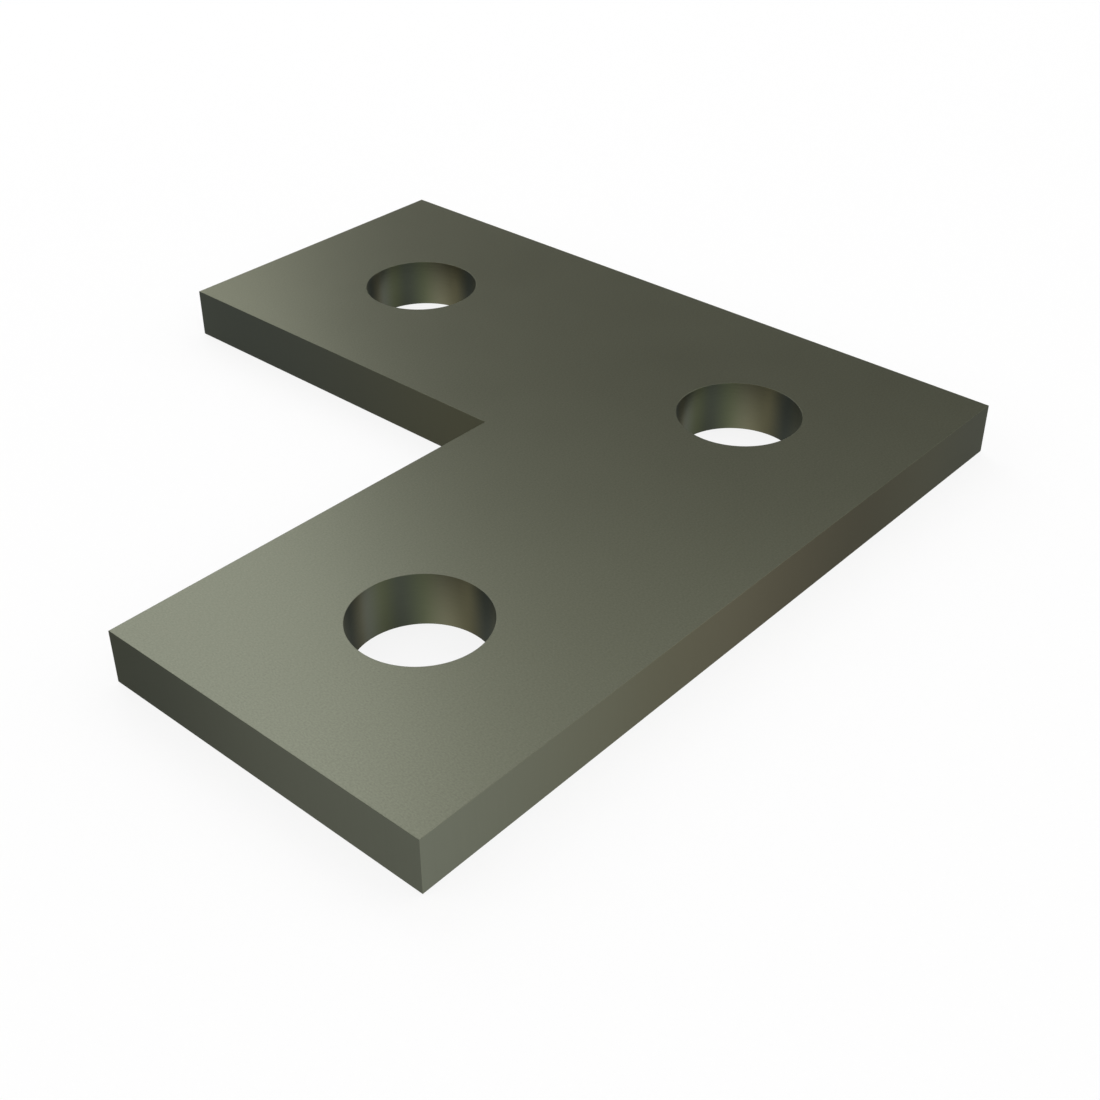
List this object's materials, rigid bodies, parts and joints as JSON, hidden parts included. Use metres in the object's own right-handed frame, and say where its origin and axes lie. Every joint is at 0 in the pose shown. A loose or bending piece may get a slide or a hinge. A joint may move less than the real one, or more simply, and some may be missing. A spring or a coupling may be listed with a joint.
{
  "type": "extrusion joining plate",
  "caption": "Flat L-shaped steel plate with round bolt holes at its corner and near the end of each equal leg, for bolting framing members together at a right angle.",
  "frame": {"origin": "on the corner hole's axis, in the plane of the seating face, where the centre lines of the framing members cross", "axes": "+Z is normal to the plate, from the seating face to the bolt-head face; one leg runs along +X and the other along +Y"},
  "size_m": [0.09, 0.09, 0.006],
  "materials": {
    "plate_steel": "satin"
  },
  "bodies": {
    "root": {"joining_plate": "plate_steel"}
  },
  "joints": []
}
